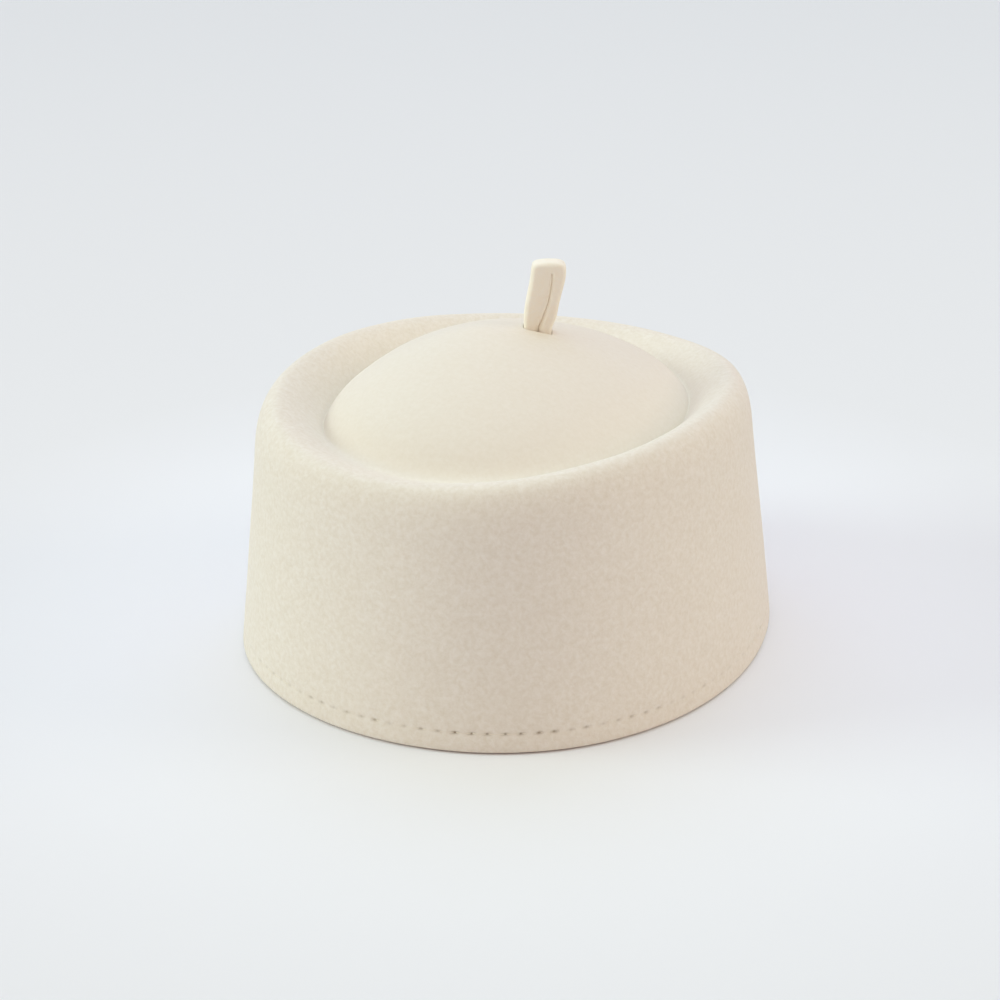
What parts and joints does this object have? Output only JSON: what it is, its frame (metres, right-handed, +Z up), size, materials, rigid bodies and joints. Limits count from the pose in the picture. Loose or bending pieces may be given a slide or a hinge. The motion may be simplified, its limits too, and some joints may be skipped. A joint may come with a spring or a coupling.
{
  "type": "felt pillbox prayer cap",
  "caption": "Blocked felt pillbox cap with a leaning side wall, rounded rim, creased valley, raised tip and a short folded stem.",
  "frame": {"origin": "middle of the hem oval, on the surface that the cap rests on", "axes": "+Z up through the tip; +Y along the oval towards its narrower end, which goes to the forehead; X across the head"},
  "size_m": [0.1726, 0.196, 0.1223],
  "materials": {
    "crown_felt": "matt blocked wool felt, ivory",
    "stem_felt": "matt wool felt strip, deeper ivory"
  },
  "bodies": {
    "root": {"crown": "crown_felt", "stem": "stem_felt"}
  },
  "joints": []
}
